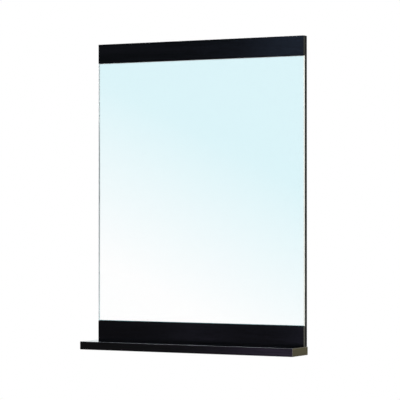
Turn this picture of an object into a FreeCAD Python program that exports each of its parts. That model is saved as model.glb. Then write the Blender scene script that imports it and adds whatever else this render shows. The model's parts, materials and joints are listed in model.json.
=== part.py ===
# Wall mirror with a shelf, in millimetres, +Z up, +Y towards the wall, front facing -Y.
# A painted back board carries a frameless glass mirror between two dark wooden rails, and a shelf
# stands out from its foot. Two strap hangers with swinging D-rings on the back hang it from a pair of
# wall hooks. The origin is on the wall, on the centre line, at the height where the hooks bear.
import FreeCAD, Part
import math
import os
from FreeCAD import Vector

# Overall size of the front
mirror_width = 600.0
mirror_height = 800.0
hang_drop = 60.0  # from the top edge down to where the wall hooks bear

# Back board, and the rubber bumpers that hold it off the wall
board_thickness = 12.0
wall_gap = 6.0
bumper_diameter = 14.0
bumper_edge_radius = 1.0
bumper_side_inset = 20.0
bumper_top_inset = 20.0
bumper_foot_inset = 40.0

# Rails, planted on the front of the board
top_rail_height = 50.0
bottom_rail_height = 51.0
rail_thickness = 7.0
rail_edge_radius = 1.0

# Shelf: a core with edge bands glued to its front and both ends
shelf_thickness = 21.0
shelf_depth = 87.0  # in front of the board
shelf_overhang = 7.5  # past the board at each end
band_thickness = 2.0
band_flat = 0.4  # left beside the rounded edges

# Mirror pane, its silvered back coat, and what it stands and sticks on
glass_thickness = 5.0
glass_arris = 0.8
glass_top_gap = 0.6
silvering_thickness = 0.2
tape_thickness = 0.8
tape_width = 25.0
tape_count = 4
tape_side_inset = 40.0
tape_end_inset = 30.0
pad_thickness = 0.6
pad_length = 50.0
pad_side_inset = 90.0

# Countersunk screws, driven from behind through the board
fastener_clearance = 0.1
rail_screw_diameter = 3.5
rail_screw_head_diameter = 7.0
rail_screw_cover = 3.0  # rail left in front of the tip
rail_screw_count = 3
rail_screw_side_inset = 60.0
shelf_screw_diameter = 4.0
shelf_screw_head_diameter = 8.0
shelf_screw_length = 50.0
shelf_screw_count = 4
shelf_screw_side_inset = 40.0
screw_point_length = 4.0
screw_tip_share = 0.25  # of the shank's diameter
recess_arm_width = 1.0
recess_depth = 1.5
recess_span_share = 0.5  # of the head's diameter

# Dowels that locate the shelf on the board
dowel_diameter = 8.0
dowel_length = 30.0
dowel_chamfer = 1.0
dowel_side_inset = 120.0
dowel_board_cover = 2.0  # board left behind the dowel

# Strap hangers, each with a D-ring of round wire
hanger_spacing = 400.0
strap_thickness = 1.2
strap_length = 40.0
strap_corner_radius = 3.0
strap_side_play = 0.5
ring_wire_diameter = 2.5
ring_half_width = 11.0  # centre line
ring_corner_radius = 3.0
ring_side_height = 5.0
ring_rest_gap = 0.3  # between the bow and the board at rest
eye_clearance = 0.08
eye_open_angle = 60.0  # how far below level the eye's lip stops
hanger_screw_diameter = 3.5
hanger_screw_head_diameter = 7.0
hanger_screw_head_height = 1.8
hanger_screw_cover = 2.0  # board left in front of the tip
hanger_screw_eye_drop = 9.5  # from the eye down to the upper screw
hanger_screw_end_inset = 10.0  # from the strap's foot up to the lower screw

# Places along Y, from the wall forwards
board_back = -wall_gap
board_front = board_back - board_thickness
rail_front = board_front - rail_thickness
silvering_back = board_front - tape_thickness
glass_back = silvering_back - silvering_thickness
glass_front = glass_back - glass_thickness
shelf_front = board_front - shelf_depth

# Places along Z
top_edge = hang_drop
foot = top_edge - mirror_height
shelf_top = foot + shelf_thickness
shelf_middle = foot + shelf_thickness / 2
bottom_rail_top = shelf_top + bottom_rail_height
top_rail_bottom = top_edge - top_rail_height
glass_bottom = bottom_rail_top + pad_thickness
glass_top = top_rail_bottom - glass_top_gap

# Places along X
half_width = mirror_width / 2
shelf_half_width = half_width + shelf_overhang
shelf_core_half_width = shelf_half_width - band_thickness
shelf_core_front = shelf_front + band_thickness
band_edge_radius = band_thickness - band_flat

# Hanger geometry: the ring leans back until its bow lies against the board
ring_wire_radius = ring_wire_diameter / 2
ring_height = ring_side_height + ring_half_width
eye_inner_radius = ring_wire_radius + eye_clearance
eye_outer_radius = eye_inner_radius + strap_thickness
eye_y = board_back + eye_outer_radius
ring_lean = math.asin((eye_outer_radius - ring_wire_radius - ring_rest_gap) / ring_height)
eye_z = -(ring_height - ring_wire_radius) * math.cos(ring_lean)
strap_half_width = ring_half_width - ring_corner_radius - strap_side_play
strap_face = board_back + strap_thickness

INTO_BOARD = Vector(0, -1, 0)
ALONG_X = Vector(1, 0, 0)
TOUCHING = 1e-6


def block(x_range, y_range, z_range):
    """A box between two places on each axis."""
    sizes = [high - low for low, high in (x_range, y_range, z_range)]
    return Part.makeBox(*sizes, Vector(x_range[0], y_range[0], z_range[0]))


def edges_where(shape, test):
    """The edges whose vertices all pass the test."""
    return [e for e in shape.Edges if all(test(v.Point) for v in e.Vertexes)]


def at(value, place):
    """Whether a coordinate or a length is the one asked for."""
    return math.isclose(value, place, abs_tol=TOUCHING)


def spread(count, side_inset, half_span):
    """Evenly spaced places along X, the outer two at side_inset from the ends."""
    reach = half_span - side_inset
    if count == 1:
        return [0.0]
    return [-reach + 2 * reach * i / (count - 1) for i in range(count)]


def countersunk_body(length, shank_radius, head_radius, grow=0.0):
    """A countersunk screw's outer form, head up at the origin and pointing along -Y."""
    shank = shank_radius + grow
    head = head_radius + grow
    cone_height = head - shank
    body = Part.makeCone(head, shank, cone_height, Vector(), INTO_BOARD)
    straight = length - screw_point_length + grow - cone_height
    body = body.fuse(Part.makeCylinder(shank, straight, Vector(0, -cone_height, 0), INTO_BOARD))
    point_start = Vector(0, -cone_height - straight, 0)
    point = Part.makeCone(shank, shank * screw_tip_share, screw_point_length, point_start, INTO_BOARD)
    return body.fuse(point).removeSplitter()


def cross_recess(head_diameter):
    """The cross cut into a screw head whose top is at the origin."""
    span = head_diameter * recess_span_share
    half_arm = recess_arm_width / 2
    depth_range = (-recess_depth, recess_depth)
    upright = block((-half_arm, half_arm), depth_range, (-span / 2, span / 2))
    level = block((-span / 2, span / 2), depth_range, (-half_arm, half_arm))
    return upright.fuse(level)


def countersunk_screws(length, diameter, head_diameter, places):
    """Screws set flush in the back of the board at (x, z) places, as one group of solids."""
    screw = countersunk_body(length, diameter / 2, head_diameter / 2).cut(cross_recess(head_diameter))
    return Part.makeCompound([screw.translated(Vector(x, board_back, z)) for x, z in places])


def drilled(solid, length, diameter, head_diameter, places):
    """The solid with holes for those screws."""
    hole = countersunk_body(length, diameter / 2, head_diameter / 2, fastener_clearance)
    mouth_radius = head_diameter / 2 + fastener_clearance
    mouth = Part.makeCylinder(mouth_radius, wall_gap, Vector(0, wall_gap, 0), INTO_BOARD)
    tool = hole.fuse(mouth)
    return solid.cut([tool.translated(Vector(x, board_back, z)) for x, z in places])


# Fastener places and lengths
rail_screw_xs = spread(rail_screw_count, rail_screw_side_inset, half_width)
top_rail_screw_places = [(x, top_edge - top_rail_height / 2) for x in rail_screw_xs]
bottom_rail_screw_places = [(x, bottom_rail_top - bottom_rail_height / 2) for x in rail_screw_xs]
rail_screw_length = board_thickness + rail_thickness - rail_screw_cover
rail_screw = (rail_screw_length, rail_screw_diameter, rail_screw_head_diameter)
shelf_screw = (shelf_screw_length, shelf_screw_diameter, shelf_screw_head_diameter)
shelf_screw_xs = spread(shelf_screw_count, shelf_screw_side_inset, half_width)
shelf_screw_places = [(x, shelf_middle) for x in shelf_screw_xs]
dowel_xs = spread(2, dowel_side_inset, half_width)
dowel_start = board_back - dowel_board_cover
hanger_xs = {"left": -hanger_spacing / 2, "right": hanger_spacing / 2}
hanger_screw_length = strap_thickness + board_thickness - hanger_screw_cover
hanger_screw_zs = (eye_z - hanger_screw_eye_drop, eye_z - strap_length + hanger_screw_end_inset)


def dowel(radius, length):
    """A dowel from just inside the board's back, pointing along -Y."""
    return Part.makeCylinder(radius, length, Vector(0, dowel_start, shelf_middle), INTO_BOARD)


def with_dowel_holes(solid):
    hole = dowel(dowel_diameter / 2 + fastener_clearance, dowel_length + fastener_clearance)
    return solid.cut([hole.translated(Vector(x, 0, 0)) for x in dowel_xs])


def shelf_dowels():
    pin = dowel(dowel_diameter / 2, dowel_length)
    pin = pin.makeChamfer(dowel_chamfer, [e for e in pin.Edges if e.Closed])
    return Part.makeCompound([pin.translated(Vector(x, 0, 0)) for x in dowel_xs])


def hanger_screw_body(grow=0.0):
    """The shank of a pan-head screw, from under its head, pointing along -Y."""
    radius = hanger_screw_diameter / 2 + grow
    straight = hanger_screw_length - screw_point_length + grow
    shank = Part.makeCylinder(radius, straight, Vector(), INTO_BOARD)
    point_start = Vector(0, -straight, 0)
    point = Part.makeCone(radius, radius * screw_tip_share, screw_point_length, point_start, INTO_BOARD)
    return shank.fuse(point)


def hanger_screw():
    """A pan-head screw with a domed rim and a cross recess, its head's seat at the origin."""
    top = Vector(0, hanger_screw_head_height, 0)
    head = Part.makeCylinder(hanger_screw_head_diameter / 2, hanger_screw_head_height, top, INTO_BOARD)
    rim = [e for e in head.Edges if e.Closed and at(e.CenterOfMass.y, hanger_screw_head_height)]
    head = head.makeFillet(hanger_screw_head_height / 2, rim)
    recess = cross_recess(hanger_screw_head_diameter).translated(top)
    return head.fuse(hanger_screw_body()).removeSplitter().cut(recess)


def hanger_screw_places(x):
    return [Vector(x, strap_face, z) for z in hanger_screw_zs]


def hanger_screws(x):
    return Part.makeCompound([hanger_screw().translated(place) for place in hanger_screw_places(x)])


def with_hanger_holes(solid, x):
    hole = hanger_screw_body(fastener_clearance)
    return solid.cut([hole.translated(place) for place in hanger_screw_places(x)])


def back_board():
    board = block((-half_width, half_width), (board_front, board_back), (foot, top_edge))
    board = drilled(board, *rail_screw, top_rail_screw_places + bottom_rail_screw_places)
    board = drilled(board, *shelf_screw, shelf_screw_places)
    for x in hanger_xs.values():
        board = with_hanger_holes(board, x)
    return with_dowel_holes(board)


def rail(bottom, top, screw_places):
    """A flat rail with eased front edges."""
    board = block((-half_width, half_width), (rail_front, board_front), (bottom, top))
    board = board.makeFillet(rail_edge_radius, edges_where(board, lambda p: at(p.y, rail_front)))
    return drilled(board, *rail_screw, screw_places)


def shelf_core():
    core = block(
        (-shelf_core_half_width, shelf_core_half_width),
        (shelf_core_front, board_front),
        (foot, shelf_top),
    )
    return with_dowel_holes(drilled(core, *shelf_screw, shelf_screw_places))


def shelf_front_band():
    band = block((-shelf_half_width, shelf_half_width), (shelf_front, shelf_core_front), (foot, shelf_top))
    front_edges = edges_where(band, lambda p: at(p.y, shelf_front))
    end_edges = [
        e
        for e in edges_where(band, lambda p: at(abs(p.x), shelf_half_width))
        if at(e.Length, band_thickness)
    ]
    return band.makeFillet(band_edge_radius, front_edges + end_edges)


def shelf_end_band(side):
    """The band on one end of the shelf; side is -1 for the left and 1 for the right."""
    outer = side * shelf_half_width
    inner = side * shelf_core_half_width
    band = block((min(outer, inner), max(outer, inner)), (shelf_core_front, board_front), (foot, shelf_top))
    length = board_front - shelf_core_front
    long_edges = [e for e in edges_where(band, lambda p: at(p.x, outer)) if at(e.Length, length)]
    return band.makeFillet(band_edge_radius, long_edges)


def mirror_glass():
    pane = block((-half_width, half_width), (glass_front, glass_back), (glass_bottom, glass_top))
    return pane.makeChamfer(glass_arris, edges_where(pane, lambda p: at(p.y, glass_front)))


def mirror_silvering():
    return block((-half_width, half_width), (glass_back, silvering_back), (glass_bottom, glass_top))


def mirror_tape(x):
    """An upright strip of foam tape between the silvered back and the board."""
    x_range = (x - tape_width / 2, x + tape_width / 2)
    z_range = (glass_bottom + tape_end_inset, glass_top - tape_end_inset)
    return block(x_range, (silvering_back, board_front), z_range)


def glass_pad(x):
    """A thin pad on the bottom rail that the pane stands on."""
    x_range = (x - pad_length / 2, x + pad_length / 2)
    return block(x_range, (glass_front, glass_back), (bottom_rail_top, glass_bottom))


def wall_bumper(x, z):
    """A rubber bumper between the board's back and the wall, with a rounded rim."""
    bumper = Part.makeCylinder(bumper_diameter / 2, wall_gap, Vector(), INTO_BOARD)
    wall_rim = [e for e in bumper.Edges if e.Closed and at(e.CenterOfMass.y, 0)]
    return bumper.makeFillet(bumper_edge_radius, wall_rim).translated(Vector(x, 0, z))


def in_eye(radius, degrees):
    """A point in the YZ plane round the hanger's eye; 0 degrees points to the wall and 90 up."""
    angle = math.radians(degrees)
    return Vector(0, eye_y + radius * math.cos(angle), eye_z + radius * math.sin(angle))


def hanger_strap(x):
    """A strip of steel against the board, rolled over at its top into the ring's eye."""
    low = eye_z - strap_length
    lip = -eye_open_angle
    over = (180 + lip) / 2
    back_low = Vector(0, board_back, low)
    face_low = Vector(0, strap_face, low)
    outer_start, outer_over, outer_lip = [in_eye(eye_outer_radius, turn) for turn in (180, over, lip)]
    inner_start, inner_over, inner_lip = [in_eye(eye_inner_radius, turn) for turn in (180, over, lip)]
    outline = [
        Part.LineSegment(back_low, outer_start),
        Part.Arc(outer_start, outer_over, outer_lip),
        Part.LineSegment(outer_lip, inner_lip),
        Part.Arc(inner_lip, inner_over, inner_start),
        Part.LineSegment(inner_start, face_low),
        Part.LineSegment(face_low, back_low),
    ]
    face = Part.Face(Part.Wire([segment.toShape() for segment in outline]))
    strap = face.extrude(ALONG_X * 2 * strap_half_width).translated(Vector(x - strap_half_width, 0, 0))
    corners = [e for e in edges_where(strap, lambda p: at(p.z, low)) if at(e.Length, strap_thickness)]
    strap = strap.makeFillet(strap_corner_radius, corners)
    return with_hanger_holes(strap, x)


def hanger_ring(x):
    """A D-ring of round wire, its straight bar in the eye and its bow leaning on the board."""
    inner = ring_half_width - ring_corner_radius
    slant = ring_corner_radius * math.sin(math.radians(45))
    half_path = [
        (inner, 0),
        (inner + slant, ring_corner_radius - slant),
        (ring_half_width, ring_corner_radius),
        (ring_half_width, ring_side_height),
    ]
    bar_right, bend_right, rise_right, bow_right = [Vector(px, 0, pz) for px, pz in half_path]
    bar_left, bend_left, rise_left, bow_left = [Vector(-px, 0, pz) for px, pz in half_path]
    path = [
        Part.LineSegment(bar_left, bar_right),
        Part.Arc(bar_right, bend_right, rise_right),
        Part.LineSegment(rise_right, bow_right),
        Part.Arc(bow_right, Vector(0, 0, ring_height), bow_left),
        Part.LineSegment(bow_left, rise_left),
        Part.Arc(rise_left, bend_left, bar_left),
    ]
    wire = Part.Wire([segment.toShape() for segment in path])
    section = Part.Wire(Part.makeCircle(ring_wire_radius, bar_left, ALONG_X))
    ring = Part.Solid(wire.makePipeShell([section], True, False))
    if ring.Volume < 0:
        ring.reverse()
    ring.rotate(Vector(), ALONG_X, math.degrees(ring_lean))
    return ring.translated(Vector(x, eye_y, eye_z))


parts = {
    "back_board": back_board(),
    "top_rail": rail(top_rail_bottom, top_edge, top_rail_screw_places),
    "bottom_rail": rail(shelf_top, bottom_rail_top, bottom_rail_screw_places),
    "shelf_core": shelf_core(),
    "shelf_front_band": shelf_front_band(),
    "shelf_left_band": shelf_end_band(-1),
    "shelf_right_band": shelf_end_band(1),
    "mirror_glass": mirror_glass(),
    "mirror_silvering": mirror_silvering(),
    "top_rail_screws": countersunk_screws(*rail_screw, top_rail_screw_places),
    "bottom_rail_screws": countersunk_screws(*rail_screw, bottom_rail_screw_places),
    "shelf_screws": countersunk_screws(*shelf_screw, shelf_screw_places),
    "shelf_dowels": shelf_dowels(),
}
for number, x in enumerate(spread(tape_count, tape_side_inset, half_width), start=1):
    parts[f"mirror_tape_{number}"] = mirror_tape(x)
for side, x in zip(("left", "right"), spread(2, pad_side_inset, half_width)):
    parts[f"{side}_glass_pad"] = glass_pad(x)
for side, x in zip(("left", "right"), spread(2, bumper_side_inset, half_width)):
    parts[f"top_{side}_bumper"] = wall_bumper(x, top_edge - bumper_top_inset)
    parts[f"bottom_{side}_bumper"] = wall_bumper(x, foot + bumper_foot_inset)
for side, x in hanger_xs.items():
    parts[f"{side}_hanger_strap"] = hanger_strap(x)
    parts[f"{side}_hanger_ring"] = hanger_ring(x)
    parts[f"{side}_hanger_screws"] = hanger_screws(x)

os.makedirs("parts", exist_ok=True)
for name, shape in parts.items():
    shape.exportStep(f"parts/{name}.step")
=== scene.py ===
import json
import math
import bpy
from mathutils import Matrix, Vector


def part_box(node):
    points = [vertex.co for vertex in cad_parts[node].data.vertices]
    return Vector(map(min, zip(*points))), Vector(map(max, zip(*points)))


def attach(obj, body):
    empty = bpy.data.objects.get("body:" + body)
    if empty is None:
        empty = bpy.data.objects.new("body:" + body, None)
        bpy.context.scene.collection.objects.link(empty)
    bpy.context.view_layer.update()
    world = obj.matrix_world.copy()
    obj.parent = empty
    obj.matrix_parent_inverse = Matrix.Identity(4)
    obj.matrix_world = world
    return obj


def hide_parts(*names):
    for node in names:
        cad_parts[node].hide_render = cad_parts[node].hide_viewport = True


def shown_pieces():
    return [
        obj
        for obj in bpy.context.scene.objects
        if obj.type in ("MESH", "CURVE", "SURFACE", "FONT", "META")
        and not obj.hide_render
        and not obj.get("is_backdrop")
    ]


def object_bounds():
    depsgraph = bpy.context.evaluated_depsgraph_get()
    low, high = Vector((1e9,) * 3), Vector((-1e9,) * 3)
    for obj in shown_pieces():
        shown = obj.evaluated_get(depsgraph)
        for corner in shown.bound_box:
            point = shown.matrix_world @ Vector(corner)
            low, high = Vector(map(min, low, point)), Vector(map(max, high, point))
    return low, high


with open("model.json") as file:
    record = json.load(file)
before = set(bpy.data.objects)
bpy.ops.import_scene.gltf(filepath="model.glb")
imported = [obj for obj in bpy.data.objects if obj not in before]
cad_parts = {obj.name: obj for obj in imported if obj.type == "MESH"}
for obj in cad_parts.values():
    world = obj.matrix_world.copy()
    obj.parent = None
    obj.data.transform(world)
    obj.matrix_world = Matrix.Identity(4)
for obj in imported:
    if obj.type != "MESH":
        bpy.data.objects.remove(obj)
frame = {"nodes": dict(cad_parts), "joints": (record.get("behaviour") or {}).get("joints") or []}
cad_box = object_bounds()

# Back board: a 12 mm fibre board with eased edges, which carries every other piece.
# It is rolled with matt charcoal paint on all sides. The cut edges soak it up and dry darker.
# Screws go through it from behind, so its back is countersunk for their heads.
BOARD_EASE = 0.0006
PAINT_THIN = (0.020, 0.020, 0.019)
PAINT_FULL = (0.029, 0.028, 0.027)
SOAKED_THIN = (0.004, 0.004, 0.003)
SOAKED_FULL = (0.008, 0.007, 0.006)
NOISE_LOW = 0.3
NOISE_HIGH = 0.7


def new_finish(name, **sockets):
    """A material with one Principled shader, whose plain values are set here."""
    finish = bpy.data.materials.new(name)
    finish.use_nodes = True
    shader = finish.node_tree.nodes["Principled BSDF"]
    for socket, value in sockets.items():
        shader.inputs[socket.replace("_", " ")].default_value = value
    return finish


def add(owner, kind, inputs, **settings):
    """Adds a shader node to a finish or to the surround.

    Each input, by its name or its number, is a plain value or the output that feeds it.
    """
    node = owner.node_tree.nodes.new("ShaderNode" + kind)
    for name, value in settings.items():
        setattr(node, name, value)
    for socket, value in inputs.items():
        if isinstance(value, bpy.types.NodeSocket):
            owner.node_tree.links.new(value, node.inputs[socket])
        else:
            node.inputs[socket].default_value = value
    return node


def feed(finish, socket, output):
    """Links an output to a socket of the finish's shader."""
    shader = finish.node_tree.nodes["Principled BSDF"]
    finish.node_tree.links.new(output, shader.inputs[socket])


def noise(finish, repeats, detail=2.0, roughness=0.5, distortion=0.0):
    """Noise on the piece's own metres, with its repeats per metre along X, Y and Z."""
    place = add(finish, "TexCoord", {}).outputs["Object"]
    stretched = add(finish, "Mapping", {"Vector": place, "Scale": repeats}).outputs["Vector"]
    inputs = {
        "Vector": stretched,
        "Scale": 1.0,
        "Detail": detail,
        "Roughness": roughness,
        "Distortion": distortion,
    }
    return add(finish, "TexNoise", inputs).outputs["Fac"]


def ramp(owner, value, stops):
    """A colour ramp. stops gives the colour at each place along it, from low to high."""
    node = add(owner, "ValToRGB", {"Fac": value})
    elements = node.color_ramp.elements
    while len(elements) < len(stops):
        elements.new(position=0.5)
    for element, (place, colour) in zip(elements, stops.items()):
        element.position = place
        element.color = (*colour, 1.0)
    return node.outputs["Color"]


def tones(finish, value, low, high, start=NOISE_LOW, end=NOISE_HIGH):
    """Turns a noise value into a blend of two colours, which runs from start to end."""
    return ramp(finish, value, {start: low, end: high})


def spread(finish, value, low, high):
    """Spreads a noise value, which lies mostly between NOISE_LOW and NOISE_HIGH, over a new range."""
    inputs = {"Value": value, "From Min": NOISE_LOW, "From Max": NOISE_HIGH, "To Min": low, "To Max": high}
    return add(finish, "MapRange", inputs).outputs["Result"]


def bump(finish, height, strength, depth):
    """Gives the surface a relief, in metres of depth for a height of 1."""
    inputs = {"Height": height, "Strength": strength, "Distance": depth}
    feed(finish, "Normal", add(finish, "Bump", inputs).outputs["Normal"])


def board_paint(name, thin, full, stipple, gloss):
    """Matt rolled paint: clouds of thin and full cover, with the roller's stipple in relief."""
    paint = new_finish(name, Specular_IOR_Level=gloss)
    clouds = noise(paint, repeats=(9, 9, 9), detail=5, roughness=0.65)
    feed(paint, "Base Color", tones(paint, clouds, thin, full, start=0.32, end=0.68))
    grain = noise(paint, repeats=(stipple, stipple, stipple), detail=3)
    feed(paint, "Roughness", spread(paint, grain, low=0.55, high=0.75))
    bump(paint, grain, strength=0.5, depth=0.0004)
    return paint


face_paint = board_paint("charcoal_paint", PAINT_THIN, PAINT_FULL, stipple=700, gloss=0.15)
edge_paint = board_paint("soaked_edge_paint", SOAKED_THIN, SOAKED_FULL, stipple=1500, gloss=0.04)

X, Y, Z = range(3)
SAME_PLACE = 1e-6
SQUARE_ON = 0.9


def settle(name):
    """Names the newest object, and puts its place, turn and scale into its mesh."""
    piece = bpy.context.object
    piece.name = name
    bpy.ops.object.transform_apply(location=True, rotation=True, scale=True)
    return piece


def box_piece(name, low, high):
    """A new box between two corners."""
    bpy.ops.object.select_all(action="DESELECT")
    bpy.ops.mesh.primitive_cube_add(size=1, location=(low + high) / 2)
    bpy.context.object.scale = high - low
    return settle(name)


def dress(piece, *finishes):
    """Gives a piece its finishes, in order, in place of any that it has."""
    piece.data.materials.clear()
    for finish in finishes:
        piece.data.materials.append(finish)


def choose_finish(piece, choice):
    """Gives each face the finish that its normal calls for. A face with no choice stays as it is."""
    finishes = list(piece.data.materials)
    for face in piece.data.polygons:
        finish = choice(face.normal)
        if finish is not None:
            face.material_index = finishes.index(finish)


def select_only(piece):
    """Selects one piece, and makes it the active one."""
    bpy.ops.object.select_all(action="DESELECT")
    piece.select_set(True)
    bpy.context.view_layer.objects.active = piece


def pick(piece, kind, wanted):
    """Goes into edit mode with the wanted edges or faces selected, and nothing else."""
    select_only(piece)
    mesh = piece.data
    for group in (mesh.vertices, mesh.edges, mesh.polygons):
        for element in group:
            element.select = False
    for element in mesh.edges if kind == "EDGE" else mesh.polygons:
        corners = [mesh.vertices[i].co for i in element.vertices]
        element.select = wanted(corners)
    bpy.context.tool_settings.mesh_select_mode = (False, kind == "EDGE", kind == "FACE")
    bpy.ops.object.mode_set(mode="EDIT")


def all_at(corners, axis, place):
    """Whether every corner has this place on the axis."""
    return all(math.isclose(corner[axis], place, abs_tol=SAME_PLACE) for corner in corners)


def round_edges(piece, wanted, radius, steps=4):
    """Rounds the wanted edges. The new faces take the piece's second finish, if it has one."""
    pick(piece, "EDGE", wanted)
    finish = 1 if len(piece.data.materials) > 1 else -1
    bpy.ops.mesh.bevel(offset=radius, segments=steps, affect="EDGES", material=finish)
    bpy.ops.object.mode_set(mode="OBJECT")


board_low, board_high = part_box("back_board")
board = box_piece("painted_back_board", board_low, board_high)
dress(board, face_paint, edge_paint)
round_edges(board, lambda corners: True, BOARD_EASE, steps=2)
choose_finish(board, lambda normal: face_paint if abs(normal.y) > SQUARE_ON else edge_paint)

FASTENERS = {
    "shelf_dowels": 2,
    "left_hanger_screws": 2,
    "right_hanger_screws": 2,
    "top_rail_screws": 3,
    "bottom_rail_screws": 3,
    "shelf_screws": 4,
}
SCREW_SHANK = 0.5
DOWEL_SHANK = 1.0
FASTENER_PLAY = 0.0001
HOLE_SIDES = 40
ALONG_Y = (math.radians(90), 0, 0)


def cut_away(piece, cutter):
    """Cuts one closed mesh out of another and deletes the cutter."""
    select_only(piece)
    hole = piece.modifiers.new("hole", "BOOLEAN")
    hole.operation = "DIFFERENCE"
    hole.solver = "EXACT"
    hole.object = cutter
    bpy.ops.object.modifier_apply(modifier=hole.name)
    bpy.data.objects.remove(cutter)


def drill(piece, x, z, radius, front, back):
    """Drills a plain hole into the piece along Y, between two places."""
    bpy.ops.object.select_all(action="DESELECT")
    bpy.ops.mesh.primitive_cylinder_add(
        vertices=HOLE_SIDES,
        radius=radius,
        depth=back - front,
        location=(x, (front + back) / 2, z),
        rotation=ALONG_Y,
    )
    cut_away(piece, bpy.context.object)


def drill_and_sink(piece, x, z, radius, mouth, front, back):
    """Drills a hole whose mouth is sunk with a 90 degree cone in the piece's back."""
    sink = mouth - radius
    bpy.ops.object.select_all(action="DESELECT")
    bpy.ops.mesh.primitive_cone_add(
        vertices=HOLE_SIDES,
        radius1=mouth + sink,
        radius2=radius,
        depth=2 * sink,
        location=(x, back, z),
        rotation=ALONG_Y,
    )
    cutter = bpy.context.object
    pick(cutter, "FACE", lambda corners: all_at(corners, Z, sink))
    bpy.ops.mesh.extrude_region_move(TRANSFORM_OT_translate={"value": (0, front - back + sink, 0)})
    bpy.ops.object.mode_set(mode="OBJECT")
    cut_away(piece, cutter)


def drill_for(piece, node, shank=SCREW_SHANK, sunk=False):
    """Drills a piece for a straight row of fasteners, as deep as they reach into it.

    shank is the share of their widest radius that the hole takes. A sunk hole takes the head too.
    """
    low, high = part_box(node)
    widest = min(high.x - low.x, high.z - low.z) / 2
    inset = Vector((widest, 0, widest))
    radius = widest * shank + FASTENER_PLAY
    front = low.y - FASTENER_PLAY
    steps = FASTENERS[node] - 1
    for number in range(steps + 1):
        place = (low + inset).lerp(high - inset, number / steps)
        if sunk:
            drill_and_sink(piece, place.x, place.z, radius, widest + FASTENER_PLAY, front, high.y)
        else:
            drill(piece, place.x, place.z, radius, front, high.y)


drill_for(board, "shelf_dowels", shank=DOWEL_SHANK)
for node in ("left_hanger_screws", "right_hanger_screws"):
    drill_for(board, node)
for node in ("top_rail_screws", "bottom_rail_screws", "shelf_screws"):
    drill_for(board, node, sunk=True)

SOFT_ANGLE = math.radians(30)


def smooth(piece):
    """Smooth shading that leaves sharp edges sharp, and the flats beside rounded edges flat."""
    select_only(piece)
    bpy.ops.object.shade_smooth_by_angle(angle=SOFT_ANGLE)
    flats = piece.modifiers.new("flats", "WEIGHTED_NORMAL")
    flats.keep_sharp = True
    bpy.ops.object.modifier_apply(modifier=flats.name)


def fit(piece, node, body="mirror"):
    """Puts a finished piece on its body, in place of its CAD node."""
    smooth(piece)
    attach(piece, body)
    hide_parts(node)


fit(board, "back_board")

# Rails: flat strips of fibre board, wrapped in a dark stained veneer under satin lacquer.
# They are screwed on from behind, above and below the glass, and stand 1 mm proud of it.
# The front edges are eased and stained paler, partly rubbed thinner and partly a painted highlight. The
# ends are banded paler, and each rail's end is shaded apart: painted light and shade.
RAIL_EASE = 0.001
STAIN_DEEP = (0.0010, 0.0010, 0.0016)
STAIN_THIN = (0.0034, 0.0032, 0.0044)
# Paler stain for eased and burnished edges: partly rubbed wear, partly a painted highlight.
STAIN_RUBBED_AND_HIGHLIT = (0.0120, 0.0110, 0.0115)
# Each rail's end band has its own shades: the bottom one painted lighter, the top one darker, as painted
# light and shade.
RAIL_END_LIT_AND_SHADED = {
    "top_rail": ((0.022, 0.022, 0.020), (0.040, 0.039, 0.035)),
    "bottom_rail": ((0.058, 0.057, 0.050), (0.100, 0.097, 0.086)),
}
GRAIN_ALONG_X = (16, 420, 420)
GRAIN_UPRIGHT = (900, 900, 60)
FIBRES_PER_FIGURE = 9
PORES_PER_FIBRE = 3
FIGURE_SHARE = 0.6
PORE_BRIM = 0.62
PORE_FLOOR = 0.70
LEANS = 0.5


def combine(owner, operation, first, second):
    """Adds, multiplies or compares two values with a Math node."""
    return add(owner, "Math", {0: first, 1: second}, operation=operation).outputs["Value"]


def stained_veneer(name, deep, thin, grain, lacquer=0.15, gloss=0.034, relief=0.12, **sockets):
    """Dark veneer: a broad figure, fibres and open pores, with the fibres' repeats in grain.

    lacquer is the roughness of its clear coat, and relief is how much the fibres stir it.
    """
    veneer = new_finish(name, Specular_IOR_Level=gloss, **sockets)
    broad = [repeats / FIBRES_PER_FIGURE for repeats in grain]
    fine = [repeats * PORES_PER_FIBRE for repeats in grain]
    figure = noise(veneer, broad, detail=4, roughness=0.6, distortion=0.6)
    fibres = noise(veneer, grain, detail=4, roughness=0.7)
    pores = noise(veneer, fine, detail=1)
    bands = combine(veneer, "MULTIPLY", figure, FIGURE_SHARE)
    streaks = combine(veneer, "MULTIPLY", fibres, 1 - FIGURE_SHARE)
    shade = combine(veneer, "ADD", bands, streaks)
    feed(veneer, "Base Color", tones(veneer, shade, deep, thin, start=0.38, end=0.62))
    feed(veneer, "Roughness", spread(veneer, fibres, low=lacquer - relief / 2, high=lacquer + relief / 2))
    pits = {"Value": pores, "From Min": PORE_BRIM, "From Max": PORE_FLOOR, "To Min": 0.0, "To Max": -1.0}
    open_pores = add(veneer, "MapRange", pits).outputs["Result"]
    bump(veneer, combine(veneer, "ADD", open_pores, streaks), strength=relief, depth=0.0002)
    return veneer


espresso = stained_veneer("espresso_veneer_face", STAIN_DEEP, STAIN_THIN, GRAIN_ALONG_X)
espresso_edge = stained_veneer("espresso_veneer_eased_edge", STAIN_THIN, STAIN_RUBBED_AND_HIGHLIT, GRAIN_ALONG_X)
rails = {}
for node, (end_deep, end_thin) in RAIL_END_LIT_AND_SHADED.items():
    rail_end_painted_light = stained_veneer(f"{node}_end_band", end_deep, end_thin, GRAIN_UPRIGHT, lacquer=0.45)
    low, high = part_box(node)
    rail = box_piece(f"{node}_veneered", low, high)
    dress(rail, espresso, espresso_edge, rail_end_painted_light)
    round_edges(rail, lambda corners: all_at(corners, Y, low.y), RAIL_EASE)
    choose_finish(rail, lambda normal: rail_end_painted_light if abs(normal.x) > LEANS else None)
    drill_for(rail, f"{node}_screws")
    fit(rail, node)
    rails[node] = rail

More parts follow.
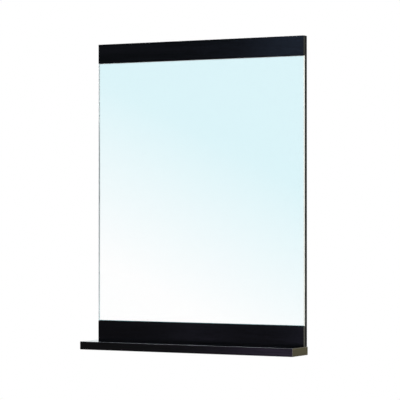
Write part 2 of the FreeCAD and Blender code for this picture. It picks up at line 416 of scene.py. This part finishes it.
# Shelf board: 21 mm thick, veneered on both faces, with a fine seam where its bands begin.
# Its top has a second, glossier clear coat, which turns pale when it is seen at a low angle.
# Dowels place it against the back board, and long screws from behind pull it tight.
SEAM = 0.00015

shelf_veneer = stained_veneer(
    "espresso_veneer_shelf",
    STAIN_DEEP,
    STAIN_THIN,
    GRAIN_ALONG_X,
    lacquer=0.1,
    gloss=0.1,
    Coat_Weight=1.0,
    Coat_Roughness=0.05,
    Coat_IOR=1.2,
)
core_low, core_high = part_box("shelf_core")
core = box_piece("shelf_board", core_low, core_high)
dress(core, espresso, shelf_veneer)


def along_seam(corners):
    """The edges round the top and the underside, apart from those against the back board."""
    level = all_at(corners, Z, core_low.z) or all_at(corners, Z, core_high.z)
    return level and not all_at(corners, Y, core_high.y)


round_edges(core, along_seam, SEAM, steps=1)
choose_finish(core, lambda normal: shelf_veneer if normal.z > LEANS else espresso)
drill_for(core, "shelf_screws")
drill_for(core, "shelf_dowels", shank=DOWEL_SHANK)
fit(core, "shelf_core")

# Shelf lippings: 2 mm bands of wood, glued round the shelf's front and ends and rounded over.
# The front one matches the veneer. Its top edge is burnished and paler, partly wear and partly a painted
# highlight, and its corners are painted pale grey as a highlight.
# The end ones are a browner wood, with the grain along the shelf's depth.
BAND_ROUND = 0.0016
LIPPING_DEEP = (0.0002, 0.0002, 0.0003)
LIPPING_THIN = (0.0010, 0.0009, 0.0014)
# Pale grey for the rounded corners: a painted highlight.
CORNER_HIGHLIGHT_DEEP = (0.105, 0.099, 0.088)
CORNER_HIGHLIGHT_THIN = (0.150, 0.142, 0.128)
CORNER_LEANS = 0.35
TOP_LEANS = 0.7
BAND_BROWN_DEEP = (0.052, 0.046, 0.023)
BAND_BROWN_THIN = (0.096, 0.085, 0.048)
BAND_BROWN_RUBBED = (0.130, 0.118, 0.094)
GRAIN_ALONG_Y = (420, 16, 420)

lipping = stained_veneer(
    "espresso_lipping", LIPPING_DEEP, LIPPING_THIN, GRAIN_ALONG_X, lacquer=0.18, gloss=0.055
)
corner_painted_highlight = stained_veneer("lipping_corner_painted_highlight", CORNER_HIGHLIGHT_DEEP, CORNER_HIGHLIGHT_THIN, GRAIN_ALONG_Y, lacquer=0.45)
burnished_edge = stained_veneer(
    "burnished_lipping_edge", STAIN_THIN, STAIN_RUBBED_AND_HIGHLIT, GRAIN_ALONG_X, lacquer=0.3, gloss=0.5, relief=0.02
)
front_low, front_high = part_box("shelf_front_band")
front_band = box_piece("shelf_front_lipping", front_low, front_high)
dress(front_band, lipping, corner_painted_highlight, burnished_edge)


def on_front_or_ends(corners):
    """The edges round the front face, and the short ones along the ends' top and foot."""
    ends = all_at(corners, X, front_low.x) or all_at(corners, X, front_high.x)
    level = all_at(corners, Z, front_low.z) or all_at(corners, Z, front_high.z)
    return all_at(corners, Y, front_low.y) or (ends and level)


def lipping_finish(normal):
    """A painted highlight where it turns towards an end, burnished on top, and stained elsewhere."""
    if abs(normal.x) > CORNER_LEANS:
        return corner_painted_highlight
    if normal.z > TOP_LEANS:
        return burnished_edge
    return lipping


round_edges(front_band, on_front_or_ends, BAND_ROUND, steps=6)
choose_finish(front_band, lipping_finish)
fit(front_band, "shelf_front_band")

band_brown = stained_veneer(
    "brown_end_band", BAND_BROWN_DEEP, BAND_BROWN_THIN, GRAIN_ALONG_Y, lacquer=0.45
)
band_brown_edge = stained_veneer(
    "brown_end_band_edge", BAND_BROWN_THIN, BAND_BROWN_RUBBED, GRAIN_ALONG_Y, lacquer=0.45
)
for side in ("left", "right"):
    low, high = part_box(f"shelf_{side}_band")
    outer = low.x if side == "left" else high.x
    end_band = box_piece(f"shelf_{side}_lipping", low, high)
    dress(end_band, band_brown, band_brown_edge)
    round_edges(
        end_band,
        lambda corners: all_at(corners, X, outer)
        and (all_at(corners, Z, low.z) or all_at(corners, Z, high.z)),
        BAND_ROUND,
    )
    fit(end_band, f"shelf_{side}_band")

# Screws: zinc-plated steel with cross recesses, driven from behind.
# Countersunk ones lie flush in the board's back, and pan-head ones hold the strap hangers.
# The plating is bright, with a faint blue cast and rolled streaks.
ZINC_BLUE = (0.50, 0.52, 0.55)
ZINC_BRIGHT = (0.68, 0.68, 0.66)

zinc = new_finish("bright_zinc_plate", Metallic=1.0)
tint = noise(zinc, repeats=(220, 220, 220), detail=4, roughness=0.6)
feed(zinc, "Base Color", tones(zinc, tint, ZINC_BLUE, ZINC_BRIGHT))
streaks = noise(zinc, repeats=(300, 1800, 1800), detail=3)
feed(zinc, "Roughness", spread(zinc, streaks, low=0.24, high=0.42))
bump(zinc, streaks, strength=0.08, depth=0.0001)
for node in FASTENERS:
    if node.endswith("_screws"):
        dress(frame["nodes"][node], zinc)

# Dowels: two pegs of bare beech, turned and chamfered.
# They sit out of sight, a third of their length in the back board and the rest in the shelf.
BEECH_FLECK = (0.36, 0.22, 0.11)
BEECH_PALE = (0.55, 0.38, 0.22)

beech = new_finish("bare_beech")
flecks = noise(beech, repeats=(900, 60, 900), detail=4, roughness=0.6)
feed(beech, "Base Color", tones(beech, flecks, BEECH_FLECK, BEECH_PALE))
feed(beech, "Roughness", spread(beech, flecks, low=0.55, high=0.7))
dress(frame["nodes"]["shelf_dowels"], beech)

# Setting pads: two thin strips of dark soft rubber, laid on top of the bottom rail.
# The pane's foot stands on them, so that glass doesn't bear on wood.
PAD_DEEP = (0.006, 0.006, 0.007)
PAD_WORN = (0.012, 0.012, 0.013)


def black_rubber(name, deep, worn):
    """Matt rubber with a dusty bloom."""
    rubber = new_finish(name, Specular_IOR_Level=0.3)
    bloom = noise(rubber, repeats=(160, 160, 160), detail=5, roughness=0.7)
    feed(rubber, "Base Color", tones(rubber, bloom, deep, worn, start=0.35))
    skin = noise(rubber, repeats=(2500, 2500, 2500), detail=2)
    feed(rubber, "Roughness", spread(rubber, skin, low=0.6, high=0.8))
    bump(rubber, skin, strength=0.3, depth=0.0001)
    return rubber


pad_rubber = black_rubber("setting_pad_rubber", PAD_DEEP, PAD_WORN)
for side in ("left", "right"):
    dress(frame["nodes"][f"{side}_glass_pad"], pad_rubber)

# Mirror tape: upright strips of white foam tape, cut square from the roll.
# They hold the silvered back of the pane to the board.
TAPES = 4
FOAM_CELL = (0.52, 0.52, 0.50)
FOAM_SKIN = (0.74, 0.74, 0.71)

foam = new_finish("white_foam_tape", Specular_IOR_Level=0.2)
cells = noise(foam, repeats=(1600, 1600, 1600), detail=2)
feed(foam, "Base Color", tones(foam, cells, FOAM_CELL, FOAM_SKIN, start=0.35, end=0.6))
feed(foam, "Roughness", spread(foam, cells, low=0.7, high=0.9))
bump(foam, cells, strength=0.5, depth=0.0003)
for number in range(1, TAPES + 1):
    dress(frame["nodes"][f"mirror_tape_{number}"], foam)

# Silver coat: a film of silver on the back of the pane, under its backing paint.
# It is seen through the whole thickness of the glass, and is evenly bright.
SILVER_DULL = (0.996, 0.999, 0.999)
SILVER_BRIGHT = (1.0, 1.0, 1.0)

silver = new_finish("silver_coat", Metallic=1.0)
tarnish = noise(silver, repeats=(3, 3, 3), detail=2)
feed(silver, "Base Color", tones(silver, tarnish, SILVER_DULL, SILVER_BRIGHT, start=0.2, end=0.8))
feed(silver, "Roughness", spread(silver, tarnish, low=0.0, high=0.004))
dress(frame["nodes"]["mirror_silvering"], silver)

# Mirror pane: 5 mm float glass, as wide as the rails, polished on both faces.
# Its four edges are ground, with a narrow arris round the front. The foot shows its sea-green body.
# The left edge is painted greyer than the others, a painted shade, and is opaque at mid-height and clearer
# towards its foot and top, a painted reflection of it in the silver.
GLASS_ARRIS = 0.0008
COAT_GAP = 0.00005
GLASS_INDEX = 1.52
GLASS_TINT = (0.999, 1.0, 1.0, 1.0)
GROUND_DULL = (0.92, 0.96, 0.95)
GROUND_BRIGHT = (0.98, 1.0, 0.99)
# Greyer tones for the left edge, and its clearness up the edge: painted shade and a painted reflection in
# the silver.
LEFT_SHADED_DULL = (0.62, 0.68, 0.67)
LEFT_SHADED_BRIGHT = (0.74, 0.79, 0.78)
FOOT_DULL = (0.20, 0.72, 0.78)
FOOT_BRIGHT = (0.30, 0.82, 0.87)
LEFT_EDGE_PAINTED_CLEARNESS = {0.0: 1.0, 0.45: 0.0, 0.65: 0.0, 0.8: 0.7}

polished = new_finish(
    "polished_glass", Transmission_Weight=1.0, IOR=GLASS_INDEX, Base_Color=GLASS_TINT
)
wipe = noise(polished, repeats=(6, 6, 14), detail=3)
feed(polished, "Roughness", spread(polished, wipe, low=0.0, high=0.003))


def ground_glass(name, dull, bright):
    """A ground edge, frosted by the wheel between a dull and a bright tone."""
    ground = new_finish(name, Transmission_Weight=0.0, IOR=GLASS_INDEX)
    frost = noise(ground, repeats=(900, 900, 900), detail=3)
    feed(ground, "Base Color", tones(ground, frost, dull, bright))
    feed(ground, "Roughness", spread(ground, frost, low=0.45, high=0.65))
    bump(ground, frost, strength=0.3, depth=0.0001)
    return ground


low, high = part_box("mirror_glass")
high.y -= COAT_GAP
ground = ground_glass("ground_glass_edge", GROUND_DULL, GROUND_BRIGHT)
left_ground_painted_shade = ground_glass("ground_glass_left_edge_painted_shade", LEFT_SHADED_DULL, LEFT_SHADED_BRIGHT)
foot_ground = ground_glass("ground_glass_foot", FOOT_DULL, FOOT_BRIGHT)
edge_place = add(left_ground_painted_shade, "TexCoord", {}).outputs["Object"]
edge_height = add(left_ground_painted_shade, "SeparateXYZ", {"Vector": edge_place}).outputs["Z"]
foot_to_top = {"Value": edge_height, "From Min": low.z, "From Max": high.z}
up_the_edge = add(left_ground_painted_shade, "MapRange", foot_to_top).outputs["Result"]
clear_stops = {place: (share, share, share) for place, share in LEFT_EDGE_PAINTED_CLEARNESS.items()}
feed(left_ground_painted_shade, "Transmission Weight", ramp(left_ground_painted_shade, up_the_edge, clear_stops))


def pane_finish(normal):
    """Polished faces and ground edges, with the left edge and the foot apart."""
    if abs(normal.y) > SQUARE_ON:
        return polished
    if normal.x < -LEANS:
        return left_ground_painted_shade
    if normal.z < -LEANS:
        return foot_ground
    return ground


glass = box_piece("mirror_pane", low, high)
dress(glass, polished, ground, left_ground_painted_shade, foot_ground)
round_edges(glass, lambda corners: all_at(corners, Y, low.y), GLASS_ARRIS, steps=1)
choose_finish(glass, pane_finish)
fit(glass, "mirror_glass")

# Strap hangers: strips of zinc-plated steel with round corners at the foot and eased edges.
# The top of each is rolled over into an eye for its D-ring.
# Two pan-head screws through its holes hold it flat against the board's back.
STRAP_THICKNESS = 0.0012
STRAP_CORNER = 0.003
STRAP_CORNER_STEPS = 8
STRAP_EASE = 0.00015
STRAP_ARRIS = math.radians(60)
EYE_TURN = math.radians(240)
EYE_STEPS = 28
WELD = 1e-5


def weld():
    """Merges the doubled points of the mesh that is being edited, and turns its faces outwards."""
    bpy.ops.mesh.select_all(action="SELECT")
    bpy.ops.mesh.remove_doubles(threshold=WELD)
    bpy.ops.mesh.normals_make_consistent(inside=False)


def copy_of(piece, name, shift):
    """A copy of a piece, with a mesh of its own, moved by a shift."""
    select_only(piece)
    bpy.ops.object.duplicate()
    bpy.context.object.location = shift
    return settle(name)


eyes = {joint["child"]: Vector(joint["pos_m"]) for joint in frame["joints"]}
eye = eyes["left_ring"]
left_to_right = eyes["right_ring"] - eye
low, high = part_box("left_hanger_strap")
strap = box_piece(
    "left_hanger_strip",
    Vector((low.x, board_high.y, low.z)),
    Vector((high.x, board_high.y + STRAP_THICKNESS, eye.z)),
)
round_edges(
    strap,
    lambda corners: all_at(corners, Z, low.z) and all_at(corners, X, corners[0].x),
    STRAP_CORNER,
    steps=STRAP_CORNER_STEPS,
)
pick(strap, "FACE", lambda corners: all_at(corners, Z, eye.z))
bpy.ops.mesh.spin(steps=EYE_STEPS, angle=EYE_TURN, center=eye, axis=(1, 0, 0))
weld()
bpy.ops.mesh.select_all(action="DESELECT")
bpy.ops.mesh.edges_select_sharp(sharpness=STRAP_ARRIS)
bpy.ops.mesh.bevel(offset=STRAP_EASE, segments=2, affect="EDGES")
bpy.ops.object.mode_set(mode="OBJECT")
drill_for(strap, "left_hanger_screws")
dress(strap, zinc)
right_strap = copy_of(strap, "right_hanger_strip", left_to_right)
fit(strap, "left_hanger_strap")
fit(right_strap, "right_hanger_strap")

# D-rings: round zinc-plated wire, bent into a straight bar, two short sides and a round bow.
# The bar turns in the strap's eye, and the bow takes the wall hook.
# At rest each ring stands up from its eye and leans in, with its bow just off the board.
WIRE_RADIUS = 0.00125
WIRE_SIDES = 20
RING_HALF_WIDTH = 0.011
RING_CORNER = 0.003
RING_CORNER_STEPS = 8
RING_SIDE = 0.005
BOW_STEPS = 36


def draw_wire(x, z):
    """Draws the wire's end straight on."""
    bpy.ops.mesh.extrude_region_move(TRANSFORM_OT_translate={"value": (x, 0, z)})


def bend_wire(degrees, x, z, steps):
    """Bends the wire's end round a point that is x and z away from the eye."""
    centre = eye + Vector((x, 0, z))
    bpy.ops.mesh.spin(steps=steps, angle=math.radians(degrees), center=centre, axis=(0, 1, 0))


bar_end = RING_HALF_WIDTH - RING_CORNER
ring_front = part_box("left_hanger_ring")[0].y
lean = math.asin((eye.y - WIRE_RADIUS - ring_front) / (RING_SIDE + RING_HALF_WIDTH))
bpy.ops.object.select_all(action="DESELECT")
bpy.ops.mesh.primitive_circle_add(
    vertices=WIRE_SIDES,
    radius=WIRE_RADIUS,
    location=eye - Vector((bar_end, 0, 0)),
    rotation=(0, math.radians(90), 0),
)
ring = settle("left_hanger_d_ring")
pick(ring, "EDGE", lambda corners: True)
draw_wire(2 * bar_end, 0)
bend_wire(90, bar_end, RING_CORNER, RING_CORNER_STEPS)
draw_wire(0, RING_SIDE - RING_CORNER)
bend_wire(180, 0, RING_SIDE, BOW_STEPS)
draw_wire(0, RING_CORNER - RING_SIDE)
bend_wire(90, -bar_end, RING_CORNER, RING_CORNER_STEPS)
weld()
bpy.ops.transform.rotate(value=-lean, orient_axis="X", center_override=eye)
bpy.ops.object.mode_set(mode="OBJECT")
dress(ring, zinc)
right_ring = copy_of(ring, "right_hanger_d_ring", left_to_right)
fit(ring, "left_hanger_ring", body="left_ring")
fit(right_ring, "right_hanger_ring", body="right_ring")

# Wall bumpers: moulded rubber buttons, glued on near the four corners of the board's back.
# They keep the mirror upright and off the wall. The wall side has a rounded rim.
# The rubber is black and matt, with a dusty bloom.
BUMPER_RIM = 0.001
BUMPER_SIDES = 48
BUMPER_DEEP = (0.010, 0.010, 0.010)
BUMPER_WORN = (0.022, 0.021, 0.020)

bumper_rubber = black_rubber("bumper_rubber_bloom", BUMPER_DEEP, BUMPER_WORN)
low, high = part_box("top_left_bumper")
bpy.ops.object.select_all(action="DESELECT")
bpy.ops.mesh.primitive_cylinder_add(
    vertices=BUMPER_SIDES,
    radius=(high.x - low.x) / 2,
    depth=high.y - low.y,
    location=(low + high) / 2,
    rotation=ALONG_Y,
)
bumpers = {"top_left": settle("top_left_rubber_button")}
dress(bumpers["top_left"], bumper_rubber)
round_edges(bumpers["top_left"], lambda corners: all_at(corners, Y, high.y), BUMPER_RIM)
for corner in ("top_right", "bottom_left", "bottom_right"):
    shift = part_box(f"{corner}_bumper")[0] - low
    bumpers[corner] = copy_of(bumpers["top_left"], f"{corner}_rubber_button", shift)
for corner, bumper in bumpers.items():
    fit(bumper, f"{corner}_bumper")

# Floor: a plain pale sheet well below the hung mirror, which fades out before its edges.
# It keeps the mirror's soft shadow, glows a little to whatever shows it, and is clear from below.
FLOOR_DROP = 1.0
FLOOR_SIZE = 8.0
FLOOR_FADE = 0.8
FLOOR_LIFT = 0.42
FLOOR_DULL = (0.76, 0.76, 0.76)
FLOOR_BRIGHT = (0.79, 0.79, 0.79)


def glass_rays(owner):
    """1 for the rays that show things by gloss or through glass, and 0 for the rest."""
    rays = add(owner, "LightPath", {}).outputs
    return combine(owner, "MAXIMUM", rays["Is Glossy Ray"], rays["Is Transmission Ray"])


def shown_rays(owner):
    """1 for the rays that show things, by sight, by gloss or through glass, and 0 for the rest."""
    rays = add(owner, "LightPath", {}).outputs
    return combine(owner, "MAXIMUM", rays["Is Camera Ray"], glass_rays(owner))


bpy.ops.object.select_all(action="DESELECT")
bpy.ops.mesh.primitive_plane_add(size=FLOOR_SIZE, location=(0, 0, board_low.z - FLOOR_DROP))
floor = settle("pale_floor")
pale = new_finish("pale_floor_paint", Roughness=0.9, Specular_IOR_Level=0.1, Emission_Color=(1, 1, 1, 1))
mottle = noise(pale, repeats=(2, 2, 2))
feed(pale, "Base Color", tones(pale, mottle, FLOOR_DULL, FLOOR_BRIGHT))
feed(pale, "Emission Strength", combine(pale, "MULTIPLY", shown_rays(pale), FLOOR_LIFT))
floor_place = add(pale, "TexCoord", {}).outputs["Object"]
flattened = add(pale, "VectorMath", {0: floor_place, 1: (1, 1, 0)}, operation="MULTIPLY")
distance = add(pale, "VectorMath", {0: flattened.outputs["Vector"]}, operation="LENGTH").outputs["Value"]
to_the_edge = {"Value": distance, "From Min": FLOOR_FADE, "From Max": FLOOR_SIZE / 2}
fade = add(pale, "MapRange", to_the_edge, interpolation_type="SMOOTHSTEP").outputs["Result"]
from_below = add(pale, "NewGeometry", {}).outputs["Backfacing"]
clearness = combine(pale, "MAXIMUM", fade, from_below)
painted = pale.node_tree.nodes["Principled BSDF"].outputs["BSDF"]
clear = add(pale, "BsdfTransparent", {}).outputs["BSDF"]
faded = add(pale, "MixShader", {0: clearness, 1: painted, 2: clear}).outputs["Shader"]
pale.node_tree.links.new(faded, pale.node_tree.nodes["Material Output"].inputs["Surface"])
dress(floor, pale)
floor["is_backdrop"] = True

# Camera: a long lens to the right of the mirror, at about the height of its middle.
# Its place, turn and lens put the mirror's edges where the photograph shows them.
CAMERA_PLACE = (2.5158, -4.6696, -0.3924)
CAMERA_TILT = 0.447
CAMERA_TURN = 28.394
CAMERA_LENS = 184.98
CAMERA_SENSOR = 36
CAMERA_REACH = 100

bpy.ops.object.camera_add(
    location=CAMERA_PLACE,
    rotation=(math.radians(90 + CAMERA_TILT), 0, math.radians(CAMERA_TURN)),
)
camera = bpy.context.object
camera.data.lens = CAMERA_LENS
camera.data.sensor_width = CAMERA_SENSOR
camera.data.clip_end = CAMERA_REACH
bpy.context.scene.camera = camera

# Surround: plain white to the camera, and dimmer as a source of light.
# What the glass reflects of it is white at the lower left and pale blue at the upper right.
# The rows are those of the picture's middle column, where the glass shows each colour.
MIRROR_CYAN = (0.722, 0.915, 0.955)
FAR_BLUE = (0.80, 0.90, 0.93)
WHITE = (1, 1, 1)
AMBIENT = 0.3
IMAGE_SIZE = 400
FAR_ABOVE_ROW = -1400
CYAN_TOP_ROW = -200
CYAN_FOOT_ROW = 130
WHITE_TOP_ROW = 315
WHITE_FOOT_ROW = 480
FAR_BELOW_ROW = 1600
GRADIENT_SLANT = 0.52


def along_gradient(row):
    """Where a row of the picture falls on the gradient, which runs from 0 to 1."""
    pixels_per_unit = CAMERA_LENS / CAMERA_SENSOR * IMAGE_SIZE
    return 0.5 + (row - IMAGE_SIZE / 2) / pixels_per_unit / 2


view_axes = camera.matrix_world.to_3x3()
seen_right = view_axes @ Vector((1, 0, 0))
seen_up = view_axes @ Vector((0, 1, 0))
across = -(seen_up + GRADIENT_SLANT * seen_right)
across.y = -across.y

world = bpy.data.worlds.new("studio_surround")
world.use_nodes = True
bpy.context.scene.world = world
direction = add(world, "TexCoord", {}).outputs["Generated"]
slant = add(world, "VectorMath", {0: direction, 1: across}, operation="DOT_PRODUCT").outputs["Value"]
end_to_end = {"Value": slant, "From Min": -1.0, "From Max": 1.0}
blue_to_white = add(world, "MapRange", end_to_end).outputs["Result"]
surround_stops = {
    along_gradient(FAR_ABOVE_ROW): FAR_BLUE,
    along_gradient(CYAN_TOP_ROW): MIRROR_CYAN,
    along_gradient(CYAN_FOOT_ROW): MIRROR_CYAN,
    along_gradient(WHITE_TOP_ROW): WHITE,
    along_gradient(WHITE_FOOT_ROW): WHITE,
    along_gradient(FAR_BELOW_ROW): FAR_BLUE,
}
surround = ramp(world, blue_to_white, surround_stops)
to_glass = {"Fac": glass_rays(world), "Color1": (*WHITE, 1), "Color2": surround}
colour = add(world, "MixRGB", to_glass).outputs["Color"]
to_sight = {"Value": shown_rays(world), "To Min": AMBIENT, "To Max": 1.0}
strength = add(world, "MapRange", to_sight).outputs["Result"]
background = world.node_tree.nodes["Background"]
world.node_tree.links.new(colour, background.inputs["Color"])
world.node_tree.links.new(strength, background.inputs["Strength"])

# Lamps: soft boxes that all face the middle of the mirror. Three of them light everything.
# The others stand low or high at the front left, and are flagged off all but some pieces:
# they give the dark lacquer its soft sheen, and stay off the glass.
BOX_FRONT = -2.9
LOW_LEVEL = -0.99
LOW_BOX_HEIGHT = 0.5
RAIL_BOXES = {"dim_soft_box": (-0.83, 0.5, 5.0), "faint_soft_box": (-1.56, 0.2, 1.2)}

middle = (cad_box[0] + cad_box[1]) / 2


def soft_lamp(name, place, width, height, watts, colour):
    """A soft box of light at a place, turned to face the middle of the mirror."""
    lamp = bpy.data.lights.new(name, "AREA")
    lamp.shape = "RECTANGLE"
    lamp.size = width
    lamp.size_y = height
    lamp.energy = watts
    lamp.color = colour
    holder = bpy.data.objects.new(name, lamp)
    holder.location = place
    holder.rotation_euler = (middle - Vector(place)).to_track_quat("-Z", "Y").to_euler()
    bpy.context.scene.collection.objects.link(holder)
    return holder


def around(azimuth, elevation, distance):
    """A place round the middle of the mirror. Azimuth 0 is straight in front."""
    turn = math.radians(azimuth)
    rise = math.radians(elevation)
    step = Vector((math.sin(turn) * math.cos(rise), -math.cos(turn) * math.cos(rise), math.sin(rise)))
    return middle + step * distance


def flag(lamp, pieces):
    """Keeps a lamp off everything but these pieces."""
    lit = bpy.data.collections.new(f"lit_by_{lamp.name}")
    for piece in pieces:
        lit.objects.link(piece)
    lamp.light_linking.receiver_collection = lit


strip = soft_lamp(
    "strip_soft_box",
    place=(-0.82, BOX_FRONT, 0.5),
    width=0.8,
    height=1.0,
    watts=23,
    colour=(0.42, 0.60, 1.0),
)
unlit_by_strip = (glass, frame["nodes"]["mirror_silvering"], front_band)
flag(strip, [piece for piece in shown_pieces() if piece not in unlit_by_strip])
low_box = soft_lamp(
    "low_soft_box",
    place=(-0.85, BOX_FRONT, LOW_LEVEL),
    width=0.75,
    height=LOW_BOX_HEIGHT,
    watts=9,
    colour=(0.72, 0.55, 1.0),
)
flag(low_box, [front_band])
for name, (x, width, watts) in RAIL_BOXES.items():
    rail_box = soft_lamp(
        name,
        place=(x, BOX_FRONT, LOW_LEVEL),
        width=width,
        height=LOW_BOX_HEIGHT,
        watts=watts,
        colour=(0.62, 0.60, 1.0),
    )
    flag(rail_box, [rails["bottom_rail"]])
soft_lamp(
    "overhead_soft_box",
    place=around(azimuth=-62, elevation=58, distance=2.2),
    width=1.6,
    height=1.6,
    watts=43,
    colour=(0.86, 0.89, 1.0),
)
soft_lamp(
    "right_soft_box",
    place=around(azimuth=80, elevation=20, distance=2.6),
    width=1.0,
    height=1.4,
    watts=34,
    colour=(1.0, 0.95, 0.86),
)
soft_lamp(
    "rear_soft_box",
    place=around(azimuth=200, elevation=25, distance=3.0),
    width=1.4,
    height=1.4,
    watts=40,
    colour=(1.0, 1.0, 1.0),
)

# Closing: colours are shown as they are written.
bpy.context.scene.view_settings.view_transform = "Standard"
